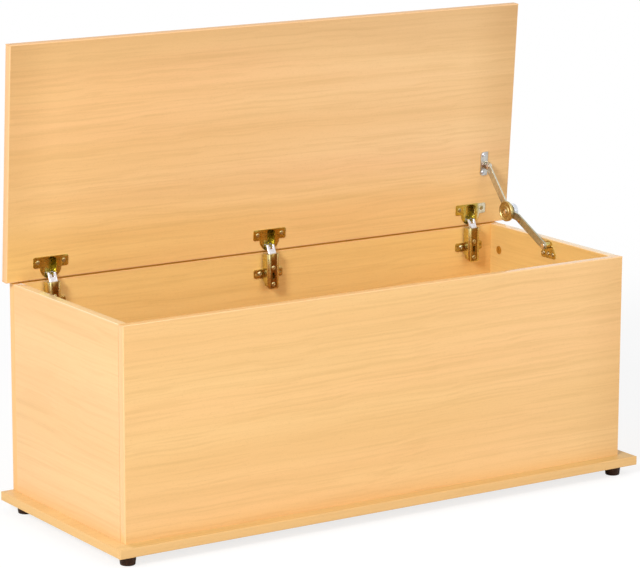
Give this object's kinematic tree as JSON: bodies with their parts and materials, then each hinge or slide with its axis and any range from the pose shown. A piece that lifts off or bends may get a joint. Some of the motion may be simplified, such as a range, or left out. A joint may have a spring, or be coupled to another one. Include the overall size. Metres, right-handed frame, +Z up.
{
  "type": "storage box with hinged lid",
  "caption": "Long beech-effect storage box on a projecting base board with low feet; its flat lid opens on concealed cup hinges and a jointed friction stay.",
  "frame": {"origin": "on the floor, under the middle of the base board", "axes": "+X along the box to its right as seen from the front, +Y to its back, +Z up"},
  "size_m": [1, 0.387, 0.7635],
  "materials": {
    "board": "beech-effect melamine, satin, grain along the length",
    "edge_band": "pale beech-effect edge band, satin, rounded arris",
    "foot_plastic": "black moulded plastic, slightly glossy",
    "zinc": "zinc plated",
    "dowel_wood": "plain beech, sanded",
    "nickel": "nickel plated pressed steel, satin bright",
    "bright_nickel": "nickel plated steel, bright",
    "brass": "plain brass rivet"
  },
  "bodies": {
    "root": {"base_panel": "board", "front_panel": "board", "back_panel": "board", "left_side_panel": "board", "right_side_panel": "board", "base_edge_bands": "edge_band", "front_panel_edge_bands": "edge_band", "back_panel_edge_bands": "edge_band", "side_panel_edge_bands": "edge_band", "foot_front_left": "foot_plastic", "foot_front_right": "foot_plastic", "foot_back_left": "foot_plastic", "foot_back_right": "foot_plastic", "foot_screws": "zinc", "base_screws": "zinc", "cam_locks": "zinc", "cam_bolts": "zinc", "stay_side_bracket_screws": "zinc", "hinge_plate_screws": "zinc", "base_dowels": "dowel_wood", "corner_dowels": "dowel_wood", "hinge_arm_left": "nickel", "hinge_arm_middle": "nickel", "hinge_arm_right": "nickel", "hinge_plate_left": "nickel", "hinge_plate_middle": "nickel", "hinge_plate_right": "nickel", "stay_side_bracket": "nickel", "hinge_arm_pins": "bright_nickel", "hinge_arm_screws": "bright_nickel"},
    "lid": {"lid_panel": "board", "lid_edge_bands": "edge_band", "hinge_cup_screws": "zinc", "hinge_cup_pins": "bright_nickel", "stay_lid_bracket": "nickel", "stay_lid_bracket_screws": "zinc", "stay_lid_rivet": "bright_nickel", "hinge_cup_left": "nickel", "hinge_cup_middle": "nickel", "hinge_cup_right": "nickel"},
    "stay_upper_arm": {"stay_upper_arm": "nickel", "stay_friction_disc": "nickel", "stay_friction_washer": "nickel", "stay_elbow_rivet": "bright_nickel"},
    "stay_lower_arm": {"stay_lower_arm": "nickel", "stay_friction_knob": "bright_nickel", "stay_side_rivet": "bright_nickel", "stay_stop_rivet": "brass"},
    "hinge_outer_link_left": {"hinge_outer_link_left": "bright_nickel"},
    "hinge_inner_link_left": {"hinge_inner_link_left": "bright_nickel"},
    "hinge_outer_link_middle": {"hinge_outer_link_middle": "bright_nickel"},
    "hinge_inner_link_middle": {"hinge_inner_link_middle": "bright_nickel"},
    "hinge_outer_link_right": {"hinge_outer_link_right": "bright_nickel"},
    "hinge_inner_link_right": {"hinge_inner_link_right": "bright_nickel"}
  },
  "joints": [
    {"name": "lid_hinge", "type": "hinge", "parent": "root", "child": "lid", "pos_m": [0, 0.1835, 0.38708], "axis": [1, 0, 0], "range_deg": [0, 86]},
    {"name": "hinge_outer_link_pivot_left", "type": "hinge", "parent": "root", "child": "hinge_outer_link_left", "pos_m": [-0.414, 0.164, 0.3725], "axis": [1, 0, 0], "range_deg": [-23.18, 0]},
    {"name": "hinge_inner_link_pivot_left", "type": "hinge", "parent": "root", "child": "hinge_inner_link_left", "pos_m": [-0.414, 0.172, 0.372], "axis": [1, 0, 0], "range_deg": [-3.41, 0]},
    {"name": "hinge_outer_link_pivot_middle", "type": "hinge", "parent": "root", "child": "hinge_outer_link_middle", "pos_m": [0, 0.164, 0.3725], "axis": [1, 0, 0], "range_deg": [-23.18, 0]},
    {"name": "hinge_inner_link_pivot_middle", "type": "hinge", "parent": "root", "child": "hinge_inner_link_middle", "pos_m": [0, 0.172, 0.372], "axis": [1, 0, 0], "range_deg": [-3.41, 0]},
    {"name": "hinge_outer_link_pivot_right", "type": "hinge", "parent": "root", "child": "hinge_outer_link_right", "pos_m": [0.414, 0.164, 0.3725], "axis": [1, 0, 0], "range_deg": [-23.18, 0]},
    {"name": "hinge_inner_link_pivot_right", "type": "hinge", "parent": "root", "child": "hinge_inner_link_right", "pos_m": [0.414, 0.172, 0.372], "axis": [1, 0, 0], "range_deg": [-3.41, 0]},
    {"name": "stay_lid_pivot", "type": "hinge", "parent": "lid", "child": "stay_upper_arm", "pos_m": [0.44, 0.15967, 0.48165], "axis": [1, 0, 0], "range_deg": [-59.18, 0]},
    {"name": "stay_elbow_pivot", "type": "hinge", "parent": "stay_upper_arm", "child": "stay_lower_arm", "pos_m": [0.443, 0.0995, 0.4122], "axis": [1, 0, 0], "range_deg": [-108.96, 0]}
  ],
  "couplings": [
    {"joint": "hinge_outer_link_pivot_left", "follows": "lid_hinge", "ratio": -0.26944},
    {"joint": "hinge_inner_link_pivot_left", "follows": "lid_hinge", "ratio": -0.039544},
    {"joint": "hinge_outer_link_pivot_middle", "follows": "lid_hinge", "ratio": -0.26944},
    {"joint": "hinge_inner_link_pivot_middle", "follows": "lid_hinge", "ratio": -0.039544},
    {"joint": "hinge_outer_link_pivot_right", "follows": "lid_hinge", "ratio": -0.26944},
    {"joint": "hinge_inner_link_pivot_right", "follows": "lid_hinge", "ratio": -0.039544},
    {"joint": "stay_lid_pivot", "follows": "lid_hinge", "ratio": -0.68805},
    {"joint": "stay_elbow_pivot", "follows": "lid_hinge", "ratio": -1.2669}
  ]
}
